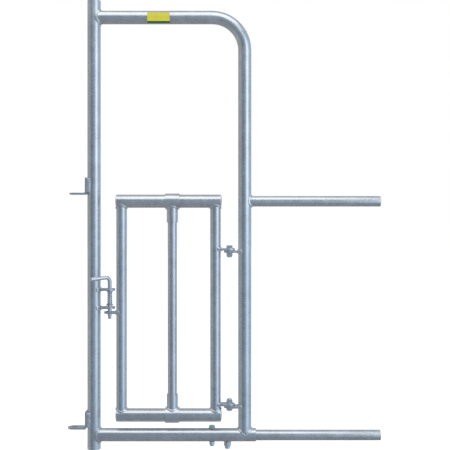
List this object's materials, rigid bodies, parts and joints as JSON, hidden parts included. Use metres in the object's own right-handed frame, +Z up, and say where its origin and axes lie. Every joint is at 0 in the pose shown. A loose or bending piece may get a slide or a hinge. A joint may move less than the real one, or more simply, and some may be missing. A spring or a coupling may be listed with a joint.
{
  "type": "livestock panel gate",
  "caption": "Galvanised walk-through frame with a low hinged creep gate, sliding centre bar, spring latch, coupling lugs and side arms for joining livestock panels.",
  "frame": {"origin": "foot of the latch post, on the post's axis at ground level", "axes": "+X from the latch post towards the side arms, -Y towards the side the latch handle is on, +Z up"},
  "size_m": [1.429, 0.117, 2.05],
  "materials": {
    "galvanised_tube": "hot-dip galvanised, satin with fine spangle",
    "galvanised_plate": "hot-dip galvanised flat bar, dull satin",
    "zinc_fastener": "zinc plated fastener",
    "spring_steel": "zinc plated spring wire",
    "label_film": "glossy printed film, plain"
  },
  "bodies": {
    "frame": {"left_post": "galvanised_tube", "header_hinge_post": "galvanised_tube", "bottom_rail": "galvanised_tube", "upper_side_arm": "galvanised_tube", "upper_coupling_lug": "galvanised_plate", "lower_coupling_lug": "galvanised_plate", "upper_post_hinge_ear": "galvanised_plate", "lower_post_hinge_ear": "galvanised_plate", "upper_latch_guide": "galvanised_plate", "lower_latch_guide": "galvanised_plate", "arm_clamp_boss": "zinc_fastener", "arm_clamp_screw": "zinc_fastener", "arm_stop_bolt": "zinc_fastener", "arm_stop_nut": "zinc_fastener", "arm_stop_washer": "zinc_fastener", "hinge_bolts": "zinc_fastener", "hinge_nuts": "zinc_fastener", "hinge_washers": "zinc_fastener", "header_label": "label_film", "latch_spring": "spring_steel", "upper_spring_washer": "zinc_fastener"},
    "gate": {"gate_top_rail": "galvanised_tube", "gate_bottom_rail": "galvanised_tube", "gate_rail_end_caps": "galvanised_plate", "latch_stile": "galvanised_tube", "hinge_stile": "galvanised_tube", "upper_gate_hinge_ear": "galvanised_plate", "lower_gate_hinge_ear": "galvanised_plate", "latch_keeper": "galvanised_plate"},
    "creep_slider": {"upper_slide_sleeve": "galvanised_tube", "lower_slide_sleeve": "galvanised_tube", "upper_bar_socket": "galvanised_tube", "lower_bar_socket": "galvanised_tube", "creep_bar": "galvanised_tube", "creep_clamp_nuts": "zinc_fastener", "creep_clamp_screws": "zinc_fastener"},
    "latch_carrier": {"lower_spring_washer": "zinc_fastener"},
    "latch_rod": {"latch_rod": "galvanised_plate", "latch_cross_pin": "zinc_fastener"},
    "lower_arm": {"lower_side_arm": "galvanised_tube"}
  },
  "joints": [
    {"name": "gate_swing", "type": "hinge", "parent": "frame", "child": "gate", "pos_m": [0.62, 0, 0.5525], "axis": [0, 0, 1], "range_deg": [-110, 110]},
    {"name": "creep_slide", "type": "slide", "parent": "gate", "child": "creep_slider", "axis": [1, 0, 0], "range_m": [-0.165, 0.13]},
    {"name": "latch_lift", "type": "slide", "parent": "frame", "child": "latch_carrier", "axis": [0, 0, 1], "range_m": [0, 0.036], "stiffness_N_per_m": 350, "springref_m": -0.04, "deforming": ["latch_spring"]},
    {"name": "latch_turn", "type": "hinge", "parent": "latch_carrier", "child": "latch_rod", "pos_m": [0.0714, 0, 0.654], "axis": [0, 0, 1], "range_deg": [0, 60]},
    {"name": "arm_slide", "type": "slide", "parent": "frame", "child": "lower_arm", "axis": [1, 0, 0], "range_m": [0, 0.04]}
  ]
}
